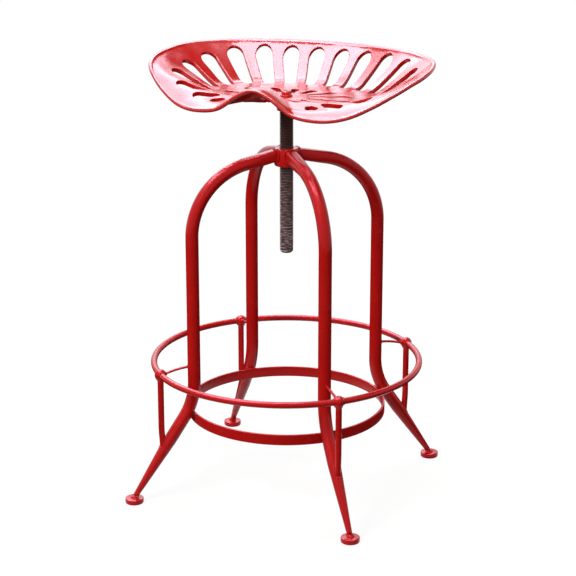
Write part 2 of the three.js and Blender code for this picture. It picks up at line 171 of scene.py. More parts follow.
class PostSizes(bpy.types.PropertyGroup):
    """The screw and the hub that it winds through"""
    radius: length("Radius", "Outer radius of the thread", 0.0107)
    bottom: length("Bottom", "Height of the post's lower end", 0.382)
    chamfer: length("Chamfer", "Chamfer of the post's ends", 0.003)
    pitch: length("Thread pitch", "Rise of the thread in one turn", 0.0025)
    thread_depth: length("Thread depth", "Depth of the thread", 0.0013)
    hub_radius: length("Hub radius", "Outer radius of the hub", 0.019)
    hub_top: length("Hub top", "Height of the hub's top", 0.548)
    hub_height: length("Hub height", "Height of the hub", 0.028)
    hub_round: length("Hub rounding", "Rounding of the hub's edges", 0.0032)
    gap: length("Gap", "Clearance between pieces that touch", 0.0003)


class LegSizes(bpy.types.PropertyGroup):
    """Legs and feet"""
    radius: length("Tube radius", "Radius of the leg tube", 0.010)
    foot_end_radius: length("End radius", "Radius of the leg where it meets its foot", 0.0040)
    top: length("Top", "Height of the legs' centre lines at the post's axis", 0.541)
    slope: angle("Slope", "Fall of a leg as it leaves the hub", 11.5)
    drop_radius: length("Drop radius", "Distance of the straight drop from the axis", 0.155)
    shoulder_radius: length("Shoulder radius", "Bend at the shoulder", 0.110)
    flare_radius: length("Flare radius", "Bend where a leg flares", 0.100)
    flare: angle("Flare", "Lean of a leg below the flare", 34.5)
    taper_height: length("Taper height", "Height at which the tube starts to taper", 0.098)
    foot_reach: length("Foot reach", "Distance of a foot from the axis", 0.257)
    foot_radius: length("Foot radius", "Radius of a foot", 0.0145)
    foot_height: length("Foot height", "Height of a foot's disc", 0.008)
    foot_boss_radius: length("Foot boss radius", "Radius of the boss on a foot", 0.0075)
    foot_boss_height: length("Foot boss height", "Height of the boss on a foot", 0.003)
    pressed_length: length("Pressed length", "Length by the hub that is pressed square", 0.060)


class FootrestSizes(bpy.types.PropertyGroup):
    """Footrest ring, its brackets and the lower band"""
    ring_reach: length("Ring radius", "Radius of the footrest ring's centre line", 0.210)
    ring_height: length("Ring height", "Height of the footrest ring", 0.206)
    rod_radius: length("Rod radius", "Radius of the ring's rod", 0.005)
    eye_radius: length("Eye radius", "Radius of the bored balls on the ring", 0.009)
    strut_radius: length("Strut radius", "Radius of the struts", 0.0048)
    stay_radius: length("Stay radius", "Radius of the stay rods", 0.002)
    stay_rise: length("Stay rise", "How far a stay rises to its leg", 0.009)
    band_top: length("Band top", "Height of the band's upper edge", 0.1374)
    band_width: length("Band width", "Height of the band", 0.0168)
    band_thickness: length("Band thickness", "Thickness of the band", 0.0035)
    bead_radius: length("Weld radius", "Radius of the weld beads", 0.0015)


class Finishes(bpy.types.PropertyGroup):
    """Colours of the paint, the steel and the studio"""
    enamel: colour("Enamel", "Gloss enamel where it is thick", "#B4100E")
    enamel_thin: colour("Thin enamel", "Gloss enamel where it is thin", "#C61B15")
    pan_shine: colour("Pan shine", "Tint of what the pan mirrors", "#FFFFFF")
    tube_shine: colour("Tube shine", "Tint of what the tubes mirror", "#F090A0")
    # Root colour: painted shade in the thread's grooves, and also the darker of the oil's patches.
    thread_root_shade_and_oil: colour("Thread root", "Oiled steel in the thread's roots", "#140C0B")
    thread_crest: colour("Thread crest", "Oiled steel on the thread's crests", "#80584E")
    # Worn colour: rubbed steel together with a painted glint on the crests, which makes it pale
    # pink.
    thread_wear_and_glint: colour("Worn thread", "Bare steel where the oil has worn off", "#F0D4D8")
    floor: colour("Floor", "Pale studio floor", "#706F6E")
    card: colour("Card", "Dark card that edges the reflections", "#1A1817")


class StudioSizes(bpy.types.PropertyGroup):
    """Camera, floor and lights, and the dark card and flag that only reflections show"""
    camera_distance: length("Camera distance", "Distance along the floor from the axis", 2.6069)
    camera_height: length("Camera height", "Height over the floor", 1.1178)
    camera_turn: angle("Camera turn", "Turn round the axis from straight ahead", 23.35)
    camera_pan: angle("Camera pan", "Turn away from the axis", -0.05)
    camera_tilt: angle("Camera tilt", "Tilt down from level", 16.959)
    floor_reach: length("Floor reach", "Half the floor's side", 30.0)
    floor_fade: lengths("Floor fade", "Distances over which the floor turns to plain white",
                        1.0, 2.4)
    floor_glow: share("Floor glow", "Glow that brings the floor up to white where it is seen", 0.85)
    world_light: share("World light", "World's strength on the stool, where 1 is white", 0.26)
    card_reach: lengths("Card", "Inner and outer radius of the dark card on the floor", 0.32, 2.4)
    card_height: length("Card height", "Height of the card over the floor", 0.001)
    flag_place: lengths("Flag", "Middle of the dark flag, across and behind the stool", 1.75, 1.8)
    flag_size: lengths("Flag size", "Sides of the flag, across and in depth", 2.2, 2.8)
    flag_height: length("Flag height", "Height of the flag", 2.75)
    lens: FloatProperty(name="Lens", description="Focal length in millimetres", default=108.49)
    view_reach: length("View reach", "How far the camera sees", 200.0)


# Shapes as arrays


def ease(value, low, high):
    """0 at low, 1 at high, with a cubic that is level at both ends."""
    t = np.clip((value - low) / (high - low), 0, 1)
    return t * t * (3 - 2 * t)


def unit(vectors):
    """Vectors brought to a length of 1."""
    return vectors / np.linalg.norm(vectors, axis=-1, keepdims=True)


def spin(points, turn):
    """Turns points about the Z axis."""
    c, s = math.cos(turn), math.sin(turn)
    return points @ np.array([[c, s, 0], [-s, c, 0], [0, 0, 1]])


def circle(count):
    """Even angles of one turn."""
    return np.arange(count) * TURN / count


def polar(radius, around, height):
    """Points (x, y, z) at a distance from the Z axis, an angle about it and a height."""
    x, y = radius * np.cos(around), radius * np.sin(around)
    return np.stack([x, y, np.broadcast_to(height, x.shape)], -1)


def skin(rings, looped=False):
    """Faces over an array of closed rings, each joined to the next. The last ring joins the first
    if looped, and otherwise each end is closed by a fan to its middle."""
    count, sides = rings.shape[:2]
    here = np.arange(count * sides).reshape(count, sides)
    beside = np.roll(here, -1, axis=1)
    points = rings.reshape(-1, 3)
    if looped:
        ahead, across = np.roll(here, -1, axis=0), np.roll(beside, -1, axis=0)
        return points, np.stack([here, beside, across, ahead], -1).reshape(-1, 4).tolist()
    quads = np.stack([here[:-1], beside[:-1], beside[1:], here[1:]], -1).reshape(-1, 4).tolist()
    low, high = np.full(sides, count * sides), np.full(sides, count * sides + 1)
    fans = np.vstack([np.stack([beside[0], here[0], low], -1),
                      np.stack([here[-1], beside[-1], high], -1)]).tolist()
    return np.vstack([points, rings[0].mean(0), rings[-1].mean(0)]), quads + fans


def strip(grid):
    """Faces over a grid (place, offset, xyz) whose places close on themselves."""
    here = np.arange(grid.shape[0] * grid.shape[1]).reshape(grid.shape[:2])
    beside = np.roll(here, -1, axis=0)
    quads = np.stack([here[:, :-1], beside[:, :-1], beside[:, 1:], here[:, 1:]], -1)
    return grid.reshape(-1, 3), quads.reshape(-1, 4).tolist()


def join(*shells):
    """One shape of several (points, faces) pairs."""
    points, faces, start = [], [], 0
    for shell_points, shell_faces in shells:
        points.append(shell_points)
        faces += [[corner + start for corner in face] for face in shell_faces]
        start += len(shell_points)
    return np.vstack(points), faces


def rounded(corners, looped=False, steps=POINTS["edge"]):
    """A profile of (radius, height, rounding) corners, where each rounding is a quadratic curve
    that starts and ends that far from its corner."""
    same_place = 1e-6
    corners = np.array(corners, float)
    place, rounding = corners[:, :2], corners[:, 2:]
    before = unit(np.roll(place, 1, axis=0) - place) * rounding
    after = unit(np.roll(place, -1, axis=0) - place) * rounding
    t = np.linspace(0, 1, steps)[None, :, None]
    start, middle, end = (place + before)[:, None], place[:, None], (place + after)[:, None]
    curve = (1 - t) ** 2 * start + 2 * t * (1 - t) * middle + t ** 2 * end
    if not looped:
        curve[0], curve[-1] = place[0], place[-1]
    flat = curve.reshape(-1, 2)
    step = np.linalg.norm(flat - np.roll(flat, 1, axis=0), axis=1)
    return flat[step > same_place]


def turned(profile, sides, looped=False):
    """A profile of (radius, height) spun about the Z axis."""
    return skin(polar(profile[:, :1], circle(sides), profile[:, 1:]), looped)


def sweep(line, radius, outward, sides, looped=False, power=2.0):
    """A tube along a line. Its section is a superellipse of the given radius and power, set across
    the line's direction, with outward as the vector that its sides are measured from."""
    if looped:
        ahead = unit(np.roll(line, -1, axis=0) - np.roll(line, 1, axis=0))
    else:
        ahead = unit(np.gradient(line, axis=0))
    side = unit(np.cross(ahead, np.broadcast_to(outward, line.shape)))
    top = np.cross(side, ahead)
    around = circle(sides)
    c, s = np.cos(around), np.sin(around)
    power = np.broadcast_to(power, len(line))[:, None]
    full = (np.abs(c) ** power + np.abs(s) ** power) ** (-1 / power)
    reach = (np.broadcast_to(radius, len(line))[:, None] * full)[..., None]
    rings = line[:, None] + reach * (c[:, None] * side[:, None] + s[:, None] * top[:, None])
    return skin(rings, looped)


def bead(line, radius, ripples):
    """A weld bead: a tube along a closed line whose radius rises and falls with each dab of weld,
    and wanders three times on its way round."""
    ripple, wander, wanders, start = 0.16, 0.1, 3, 1
    around = np.arange(len(line)) / len(line)
    swell = (1 + ripple * np.abs(np.sin(math.pi * ripples * around))
             + wander * np.sin(TURN * wanders * around + start))
    return sweep(line, radius * swell, line - line.mean(0), SIDES["bead"], looped=True)


def ring_line(centre, radius, first, second, count):
    """A circle round centre in the plane of two unit vectors."""
    around = circle(count)[:, None]
    way = np.cos(around) * np.array(first) + np.sin(around) * np.array(second)
    return np.array(centre) + radius * way


# Pieces of the model


def make(name, shape, material):
    """An object in the scene whose mesh has the points and faces of a shape."""
    points, faces = shape
    mesh = bpy.data.meshes.new(name)
    mesh.from_pydata(points.tolist(), [], faces)
    mesh.materials.append(material)
    piece = bpy.data.objects.new(name, mesh)
    bpy.context.scene.collection.objects.link(piece)
    return piece


def put(name, shape, body, slot, material, *nodes, merge=0.0, crease=None):
    """Makes a piece whose faces are turned outwards, and rides it on a body. Points closer than
    merge become one, and edges sharper than crease degrees stay sharp."""
    piece = make(name, shape, material)
    mesh = piece.data
    shell = bmesh.new()
    shell.from_mesh(mesh)
    if merge:
        bmesh.ops.remove_doubles(shell, verts=shell.verts, dist=merge)
    bmesh.ops.recalc_face_normals(shell, faces=shell.faces)
    shell.to_mesh(mesh)
    shell.free()
    mesh.shade_smooth()
    if crease is not None:
        mesh.set_sharp_from_angle(angle=math.radians(crease))
    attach(piece, body)
    if nodes:
        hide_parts(*nodes)


class Dish:
    """The pressed shape of the pan, worked out over a place (x, y) in plan with +Y at the back.
    Each share is of the way from the post to the rim."""

    # Where the wall leaves the floor, and how gently
    foot_shares = {"back": 0.72, "side": 0.57, "front": 0.25}
    fillet_share = 0.055
    # Where the thigh rests rise, and where they roll down again to the rim
    crown_shares = (0.2, 0.6)
    roll_share = 0.82
    # Half the distance over which the slope is read
    slope_step = 0.0005
    # The sand mould's waves: their length for one radian, and where two of them start
    wave_steps = (0.0085, 0.0071, 0.0126)
    wave_starts = (1.3, 0.4)
    # How far outside and inside the pad's radius the pan turns level
    pad_blend = (0.0035, 0.0005)
    # Points of the rim's curve between two stations, even angles that it is read at, and how many
    # of these the bell curve takes in on each side, which are three of its widths
    curve_points, even_angles, bell_reach, bell_widths = 64, 1440, 24, 3

    def __init__(self, seat):
        self.seat = seat
        self.angles, self.reach, self.rise = self.rim_curve()

    def rim_curve(self):
        """A centripetal Catmull-Rom curve through the rim's stations, mirrored to both sides, read
        at even angles and evened by a bell curve two degrees wide."""
        reach, rise = np.array(self.seat.rim_reach), np.array(self.seat.rim_rise)
        right = np.stack([reach * np.sin(RIM_ANGLES), reach * np.cos(RIM_ANGLES), rise], -1)
        stations = np.vstack([right, right[-2:0:-1] * [-1, 1, 1]])
        p = [np.roll(stations, shift, axis=0)[:, None] for shift in (1, 0, -1, -2)]
        gaps = [np.linalg.norm(b - a, axis=-1, keepdims=True) ** 0.5 for a, b in zip(p, p[1:])]
        knots = [0 * gaps[0], gaps[0], gaps[0] + gaps[1], gaps[0] + gaps[1] + gaps[2]]
        way = np.linspace(0, 1, self.curve_points, endpoint=False)[None, :, None]
        t = knots[1] + gaps[1] * way

        def between(a, b, i, j):
            return ((knots[j] - t) * a + (t - knots[i]) * b) / (knots[j] - knots[i])

        first, second, third = (between(p[i], p[i + 1], i, i + 1) for i in range(3))
        curve = between(between(first, second, 0, 2), between(second, third, 1, 3), 1, 2)
        curve = curve.reshape(-1, 3)
        angles = np.linspace(-math.pi, math.pi, self.even_angles, endpoint=False)
        seen = np.arctan2(curve[:, 0], curve[:, 1])
        order = np.argsort(seen)
        side = self.bell_reach
        bell = np.exp(-np.linspace(-self.bell_widths, self.bell_widths, 2 * side + 1) ** 2 / 2)
        bell /= bell.sum()

        def even(values):
            read = np.interp(angles, seen[order], values[order], period=TURN)
            return np.convolve(np.concatenate([read[-side:], read, read[:side]]), bell, "valid")

        return angles, even(np.hypot(curve[:, 0], curve[:, 1])), even(curve[:, 2])

    def rim(self, turn):
        """Reach and rise of the rim at an angle."""
        return (np.interp(turn, self.angles, self.reach, period=TURN),
                np.interp(turn, self.angles, self.rise, period=TURN))

    def height(self, x, y):
        """Top of the pan. The floor falls a little to the back, the wall leaves it at a foot with a
        hyperbolic fillet and runs straight to the rim, and the thighs lie on a low crown."""
        seat = self.seat
        turn = np.arctan2(x, y)
        reach, rise = self.rim(turn)
        out = np.hypot(x, y) / reach
        fall = seat.floor_fall / seat.rim_reach[0]
        back, side, front = self.foot_shares.values()
        even = (back + front) / 2
        foot = ((even + side) / 2 + (back - front) / 2 * np.cos(turn)
                + (even - side) / 2 * np.cos(2 * turn))

        def climb(place):
            return (np.hypot(place - foot, self.fillet_share) + place - foot) / 2

        wall = (climb(out) - climb(0)) / (climb(1) - climb(0))
        thigh = ease(np.abs(turn), *CROWN_STARTS)
        roll = (np.clip(out - self.roll_share, 0, None) / (1 - self.roll_share)) ** 2
        crown = seat.thigh_crown * thigh * (ease(out, *self.crown_shares) - roll)
        return seat.floor_height - fall * y + crown + (rise + fall * reach * np.cos(turn)) * wall

    def press(self, plan, depth):
        """Points (x, y) of a flat plate taken to the dish, with their depth square to it. The
        middle is a level pad, and two crossed waves and a slanting one stand for the unevenness of
        the sand mould."""
        seat, step = self.seat, self.slope_step
        x, y = plan[..., 0], plan[..., 1]
        depth = np.broadcast_to(depth, x.shape)
        slope_x = self.height(x + step, y) - self.height(x - step, y)
        slope_y = self.height(x, y + step) - self.height(x, y - step)
        up = unit(np.stack([-slope_x, -slope_y, np.full_like(slope_x, 2 * step)], -1))
        across, along, slanting = self.wave_steps
        start_x, start_y = self.wave_starts
        wave = (np.sin(x / across + start_x) * np.sin(y / along + start_y)
                + np.sin((x - y) / slanting))
        lift = depth + seat.waviness * wave
        points = np.stack([x, y, self.height(x, y)], -1) + lift[..., None] * up
        outside, inside = self.pad_blend
        pad = ease(np.hypot(x, y), seat.pad_radius + outside, seat.pad_radius - inside)
        upwards = depth / seat.thickness + 0.5
        level = seat.floor_height - seat.thickness / 2 + upwards * seat.pad_thickness
        points[..., 2] += pad * (level - points[..., 2])
        return spin(points, seat.turn)


def slot_table(seat, dish):
    """Rows of angle, inner end, outer end, inner width and outer width, one for each slot. A slot
    is as wide as its pitch and the rib beside it leave room for, up to the widest."""
    start_share, start_gain, small_end_share = 0.66, 0.15, 0.5

    def rows(turn, pitch, inner, outer, inner_rib, outer_rib, widest):
        widths = [np.minimum(widest, 2 * reach * np.tan(pitch / 2) - rib)
                  for reach, rib in ((inner, inner_rib), (outer, outer_rib))]
        return np.stack([turn, inner, outer, *widths], -1)

    place = np.arange(seat.slot_count) + 0.5
    turn = place * (seat.slot_pitch - seat.slot_crowding * place)
    pitch = seat.slot_pitch - 2 * seat.slot_crowding * place
    outer_rib, front_rib, inner_rib = seat.slot_ribs
    back, wing, thigh = seat.flanges
    narrowing = ease(turn, *FLANGE_NARROWS)
    flange = back + (wing - back) * ease(turn, *FLANGE_WIDENS) - (wing - thigh) * narrowing
    outer = dish.rim(turn)[0] - flange
    start = start_share + start_gain * ease(turn, *SLOT_SHORTENS)
    long_slots = rows(turn, pitch, np.minimum(seat.slot_inner_reach, outer * start), outer,
                      inner_rib + (front_rib - inner_rib) * narrowing,
                      outer_rib + (front_rib - outer_rib) * narrowing, seat.slot_width)

    count = seat.small_slot_count
    turn = (np.arange(count) + 0.5) * TURN / count
    back_end, side_end = seat.small_slot_ends
    outer = np.minimum(back_end + (side_end - back_end) * np.sin(turn) ** 2,
                       dish.rim(turn)[0] * small_end_share)
    outer_rib, inner_rib = seat.small_slot_ribs
    small_slots = rows(turn, TURN / count, np.full(count, seat.small_slot_start), outer,
                       inner_rib, outer_rib, seat.small_slot_width)
    return np.vstack([long_slots, long_slots * [-1, 1, 1, 1, 1], small_slots])


def slot_outlines(slots, grown):
    """Plan points (slot, place, offset, xy) of outlines that stand off from the slots by each of
    the offsets in grown: a half circle, a straight side, a half circle and a side."""
    turn, inner, outer, inner_width, outer_width = slots.T[:, :, None, None]
    arc = np.linspace(0, 1, POINTS["slot_end"])
    side = arc[1:-1]
    bearing = np.concatenate([math.pi * arc, math.pi + 0 * side, math.pi * (1 + arc), 0 * side])
    inwards = np.concatenate([0 * arc, side, 0 * arc + 1, 1 - side])
    bearing, inwards = bearing[None, :, None], inwards[None, :, None]
    middle = (outer - outer_width / 2) * (1 - inwards) + (inner + inner_width / 2) * inwards
    radius = outer_width / 2 * (1 - inwards) + inner_width / 2 * inwards + np.array(grown)
    across, along = radius * np.cos(bearing), middle + radius * np.sin(bearing)
    return np.stack([across * np.cos(turn) + along * np.sin(turn),
                     along * np.cos(turn) - across * np.sin(turn)], -1)


def seat_pan(seat):
    """The pan: strips round the slots and the rim, each a section carried round an outline, and a
    web of triangles between them on both faces, all laid out flat and then pressed."""
    dish = Dish(seat)
    slots = slot_table(seat, dish)
    thick, edge = seat.thickness, seat.edge_round
    quarter = np.linspace(0, math.pi / 2, POINTS["edge"])
    rise, run = edge * (1 - np.sin(quarter)), edge * (1 - np.cos(quarter))
    outlines = slot_outlines(slots, np.concatenate([[seat.collar], rise, run, [seat.collar]]))
    collars = dish.press(outlines, np.concatenate([[0], -run, rise - thick - seat.slot_lip,
                                                   [-thick]]))

    around = np.linspace(-math.pi, math.pi, POINTS["rim"], endpoint=False)
    half = np.linspace(math.pi / 2, -math.pi / 2, POINTS["rim_section"])
    shoulder = seat.rim_strip * seat.rim_shoulder
    offset = np.concatenate([[-seat.rim_strip],
                             -shoulder + (shoulder + seat.rim_bulge) * np.cos(half),
                             [-seat.rim_strip]])
    depth = np.concatenate([[0], (thick / 2 + seat.rim_bead) * np.sin(half) - thick / 2, [-thick]])
    reach, turn = dish.rim(around)[0][:, None] + offset, around[:, None]
    rim = np.stack([reach * np.sin(turn), reach * np.cos(turn)], -1)

    flat, triangles = web(seat, dish, rim[:, 0], outlines[:, :, 0], slots)
    return join(*[strip(collar) for collar in collars], strip(dish.press(rim, depth)),
                (dish.press(flat, 0), triangles), (dish.press(flat, -thick), triangles))


def web(seat, dish, rim_line, holes, slots):
    """Triangles between the rim's strip and the slots' collars: a Delaunay net over the outlines
    and an even field of points between them. The net inside the slots is left out."""
    step, half_count, same_place = seat.web_step, 90, 1e-9
    rim_room, collar_room = step * 0.6, step * 0.45
    count = np.arange(-half_count, half_count + 1)
    columns, rows = np.meshgrid(count, count)
    field = np.stack([(columns + rows % 2 / 2) * step, rows * step * math.sqrt(0.75)], -1)
    field = field.reshape(-1, 2)
    turn, out = np.arctan2(field[:, 0], field[:, 1]), np.hypot(field[:, 0], field[:, 1])
    inside = out < dish.rim(turn)[0] - seat.rim_strip - rim_room
    way = np.stack([np.sin(slots[:, 0]), np.cos(slots[:, 0])], -1)
    outer, inner = slots[:, 2] - slots[:, 4] / 2, slots[:, 1] + slots[:, 3] / 2
    inwards = np.clip((outer - field @ way.T) / (outer - inner), 0, 1)
    middle = (outer - inwards * (outer - inner))[..., None] * way
    away = np.linalg.norm(field[:, None] - middle, axis=-1)
    radius = slots[:, 4] / 2 * (1 - inwards) + slots[:, 3] / 2 * inwards
    clear = (away - radius).min(axis=1) > seat.collar + collar_room
    outlines = [rim_line[::-1], *holes]
    starts = np.cumsum([0] + [len(line) for line in outlines])
    loops = [list(range(a, b)) for a, b in zip(starts, starts[1:])]
    points = np.vstack([*outlines, field[inside & clear]])
    flat, _, faces, _, _, parents = delaunay_2d_cdt(points.tolist(), [], loops, 0, same_place)
    kept = [list(face) for face, loop in zip(faces, parents) if list(loop) == [0]]
    return np.array([tuple(point) for point in flat]), kept


def seat_levels(seat, gap):
    """Heights of the pad's top and bottom, the boss's top and the top of its socket."""
    top = seat.floor_height + (seat.pad_thickness - seat.thickness) / 2
    bottom = top - seat.pad_thickness
    return top, bottom, bottom - gap, bottom - gap - seat.boss_web


def seat_boss(seat, post):
    """Turned collar with a socket for the post, which flares where it meets the pan."""
    flare, flare_height, lap = 0.004, 0.0045, 0.0002
    edge, mouth, foot_edge, hollow, lip = 0.0003, 0.0006, 0.0016, 0.003, 0.0012
    _, bottom, top, socket_top = seat_levels(seat, post.gap)
    low, outer = top - seat.boss_height, seat.boss_radius
    socket, hole = post.radius + post.gap, seat.bolt_hole_radius
    return turned(rounded([
        (hole, socket_top, edge), (socket, socket_top, edge), (socket, low, mouth),
        (outer, low, foot_edge), (outer, bottom - flare_height, hollow),
        (outer + flare, bottom + lap, lip), (hole, bottom + lap, edge)], looped=True),
        SIDES["collar"], looped=True)


def seat_washer(seat, post):
    """Punched disc, whose upper edge is rounder than its lower one."""
    bore, under, over = 0.0003, 0.0004, 0.0005
    low = seat_levels(seat, post.gap)[0]
    high, hole, outer = low + seat.washer_height, seat.bolt_hole_radius, seat.washer_radius
    return turned(rounded([(hole, low, bore), (outer, low, under), (outer, high, over),
                           (hole, high, bore)], looped=True), SIDES["disc"], looped=True)


def seat_bolt(seat, post):
    """Hexagonal head with a turned top and a shallow centre, on a shank that goes down the post:
    a turned profile that is held inside the hexagon."""
    chamfer, edge, centre_depth, past_hexagon = 0.0012, 0.0003, 0.0016, 1.0
    low = seat_levels(seat, post.gap)[0] + seat.washer_height
    high = low + seat.bolt_height
    shank, flat = seat.bolt_radius, seat.bolt_width / 2
    shoulder, crown, rim, wall, centre = flat * np.array([0.97, 0.9, 0.5, 0.42, 0.36])
    profile = np.array([
        [shank, low - seat.bolt_length], [shank, low], [past_hexagon, low],
        [past_hexagon, high - chamfer], [shoulder, high - edge], [crown, high], [rim, high],
        [wall, high - edge], [centre, high - centre_depth]])
    around, sixth = circle(SIDES["hexagon"]), TURN / 6
    hexagon = flat / np.cos((around + sixth / 2) % sixth - sixth / 2)
    return skin(polar(np.minimum(profile[:, :1], hexagon), around, profile[:, 1:]))


def threaded_post(seat, post):
    """Radius as a function of turn and height: a trapezium wave that climbs one pitch in a turn,
    held inside a cone at each end. The top is drilled for the seat bolt."""
    rows_per_pitch, crest_share, flank_share = 9, 0.14, 0.72
    pad_top, _, _, socket_top = seat_levels(seat, post.gap)
    top = socket_top - post.gap
    height = np.arange(post.bottom, top, post.pitch / rows_per_pitch)[:, None]
    around = circle(SIDES["thread"])
    phase = (height / post.pitch - around / TURN) % 1
    wave = np.clip((np.abs(2 * phase - 1) - crest_share) / flank_share, 0, 1)
    radius = post.radius - post.thread_depth * wave
    cone = post.radius - post.chamfer + np.minimum(height - post.bottom, top - height)
    radius = np.minimum(radius, cone)
    hole_bottom = pad_top + seat.washer_height - seat.bolt_length - seat.bolt_hole_spare
    radius = np.vstack([radius, np.full((2, len(around)), seat.bolt_hole_radius)])
    height = np.vstack([height, height[-1:], [[hole_bottom]]])
    return skin(polar(radius, around, height))


def hub(post):
    """Turned collar with rounded edges and a small chamfer at the mouth of its bore."""
    mouth, edge = 0.0008, post.hub_round
    low, high = post.hub_top - post.hub_height, post.hub_top
    bore, outer = post.radius + post.gap, post.hub_radius
    return turned(rounded([(bore, low, mouth), (outer, low, edge), (outer, high, edge),
                           (bore, high, mouth)], looped=True), SIDES["collar"], looped=True)


def leg_height(legs, reach):
    """Height of the flared part of a leg's centre line at a distance from the axis."""
    return legs.foot_height + (legs.foot_reach - reach) / math.tan(legs.flare)


def leg_reach(legs, height):
    """Distance of the flared part of a leg's centre line from the axis at a height."""
    return legs.foot_reach - (height - legs.foot_height) * math.tan(legs.flare)


def flare_centre(legs):
    """Height of the middle of the arc that turns a leg outwards."""
    return leg_height(legs, legs.drop_radius) + legs.flare_radius * math.tan(legs.flare / 2)


def leg_line(legs, hub_radius):
    """Points (x, z) of a leg's centre line: a slope, an arc down, a straight drop, an arc out and a
    straight run to the foot."""
    root_depth, same_place = 0.003, 1e-5
    bend, flare = legs.shoulder_radius, legs.flare_radius
    start = legs.drop_radius - bend * (1 - math.sin(legs.slope))
    centre = legs.top - start * math.tan(legs.slope) - bend * math.cos(legs.slope)
    low = flare_centre(legs)
    end = legs.foot_height + legs.foot_boss_height
    t = np.linspace(0, 1, POINTS["leg_part"])[:, None]
    root = hub_radius - root_depth
    first = np.array([root, legs.top - root * math.tan(legs.slope)])
    shoulder = math.pi / 2 - legs.slope + (legs.slope - math.pi / 2) * t
    knee = math.pi + legs.flare * t
    parts = [
        first + (np.array([start, centre + bend * math.cos(legs.slope)]) - first) * t[::4],
        np.hstack([legs.drop_radius - bend + bend * np.cos(shoulder),
                   centre + bend * np.sin(shoulder)]),
        np.hstack([0 * t + legs.drop_radius, centre + (low - centre) * t]),
        np.hstack([legs.drop_radius + flare + flare * np.cos(knee), low + flare * np.sin(knee)]),
    ]
    run = np.array([leg_reach(legs, end), end])
    parts.append(parts[-1][-1] + (run - parts[-1][-1]) * t)
    line = np.vstack(parts)
    apart = np.linalg.norm(np.diff(line, axis=0), axis=1) > same_place
    return line[np.concatenate([[True], apart])]


def leg_radius(legs, height):
    """The tube's radius, which falls evenly below the taper height."""
    taper = np.clip((legs.taper_height - height) / (legs.taper_height - legs.foot_height), 0, 1)
    return legs.radius + (legs.foot_end_radius - legs.radius) * taper


def leg(legs, hub_radius):
    """Tube swept along the leg's line. By the hub it is pressed to a rounded square, and it tapers
    to the foot."""
    full_press, narrowing, squareness = 0.012, 0.09, 3.2
    flat = leg_line(legs, hub_radius)
    line = np.stack([flat[:, 0], 0 * flat[:, 0], flat[:, 1]], -1)
    gone = np.concatenate([[0], np.cumsum(np.linalg.norm(np.diff(flat, axis=0), axis=1))])
    pressed = ease(gone, legs.pressed_length, full_press)
    radius = leg_radius(legs, flat[:, 1]) * (1 - narrowing * pressed)
    return sweep(line, radius, (0, 1, 0), SIDES["tube"], power=2 + squareness * pressed)


def foot(legs):
    """Turned disc with rounded edges and a raised boss for the leg's end."""
    core, inset, inset_height, boss_inset, boss_top_inset = 0.002, 0.0008, 0.0012, 0.0012, 0.0022
    low_edge, side_edge, high_edge, hollow, boss_edge = 0.0006, 0.0008, 0.0012, 0.001, 0.0008
    outer, boss, high = legs.foot_radius, legs.foot_boss_radius, legs.foot_height
    top = high + legs.foot_boss_height
    points, faces = turned(rounded([
        (core, 0, 0), (outer - inset, 0, low_edge), (outer, inset_height, side_edge),
        (outer, high, high_edge), (boss - boss_inset, high, hollow),
        (boss - boss_top_inset, top, boss_edge), (core, top, 0)]), SIDES["disc"])
    return points + [legs.foot_reach, 0, 0], faces


def footrest_ring(rest):
    """Rod swept round a circle about the Z axis."""
    line = polar(rest.ring_reach, circle(SIDES["hoop"]), rest.ring_height)
    return sweep(line, rest.rod_radius, (0, 0, 1), SIDES["rod"], looped=True)


def ring_eye(rest, gap):
    """Ball with its bore along the ring: an arc of a circle from one mouth to the other, spun about
    the bore, with a low ridge round its middle where its two halves meet."""
    ridge, ridge_width = 0.00025, 0.1
    bore, ball = rest.rod_radius + gap / 2, rest.eye_radius
    turn = math.acos(bore / ball) * np.linspace(-1, 1, POINTS["eye"])
    reach = ball + ridge * np.exp(-(turn / ridge_width) ** 2)
    arc = np.stack([reach * np.cos(turn), reach * np.sin(turn)], -1)
    points, faces = turned(arc, SIDES["eye"], looped=True)
    place = np.array([rest.ring_reach, 0, rest.ring_height])
    return points[:, [0, 2, 1]] * [1, 1, -1] + place, faces


def leg_top_at(legs, x, y):
    """Height at which a vertical line meets the upper side of a leg's flared run."""
    centre = leg_height(legs, x)
    return centre + np.sqrt(leg_radius(legs, centre) ** 2 - y ** 2) / math.sin(legs.flare)


def strut(rest, legs):
    """Rod from the eye down to the leg, with a slight set inwards near its lower end."""
    leg_depth, eye_depth, set_height = 0.006, 0.0018, 0.035
    low = leg_top_at(legs, rest.ring_reach, 0) - leg_depth
    high = rest.ring_height - rest.eye_radius + eye_depth
    height = np.linspace(low, high, POINTS["strut"])
    inwards = STRUT_SET * (1 - ease(height, low, low + set_height))
    line = np.stack([rest.ring_reach - inwards, 0 * height, height], -1)
    return sweep(line, rest.strut_radius, (0, 1, 0), SIDES["rod"])


def stay_ends(rest, legs):
    """Ends of a stay's centre line, each a little way into the eye or the leg."""
    depth, rise_share = 0.001, 0.85
    outer = np.array([rest.ring_reach - rest.eye_radius + depth, 0, rest.ring_height + depth])
    inner = np.array([legs.drop_radius + legs.radius - depth, 0,
                      rest.ring_height + rest.stay_rise * rise_share])
    return outer, inner


def stay_rod(rest, legs):
    """Thin rod from the eye to the leg, with a little bow upwards."""
    bow = np.array([0, 0, 0.0012])
    outer, inner = stay_ends(rest, legs)
    t = np.linspace(0, 1, POINTS["stay"])[:, None]
    line = outer + (inner - outer) * t + bow * np.sin(math.pi * t)
    return sweep(line, rest.stay_radius, (0, 1, 0), SIDES["stay"])


def band_reach(rest, legs, gap):
    """Outer radius of the band, whose top edge lies against the legs' inner sides."""
    bend = legs.flare_radius + legs.radius
    drop = flare_centre(legs) - rest.band_top
    return legs.drop_radius + legs.flare_radius - math.sqrt(bend ** 2 - drop ** 2) - gap


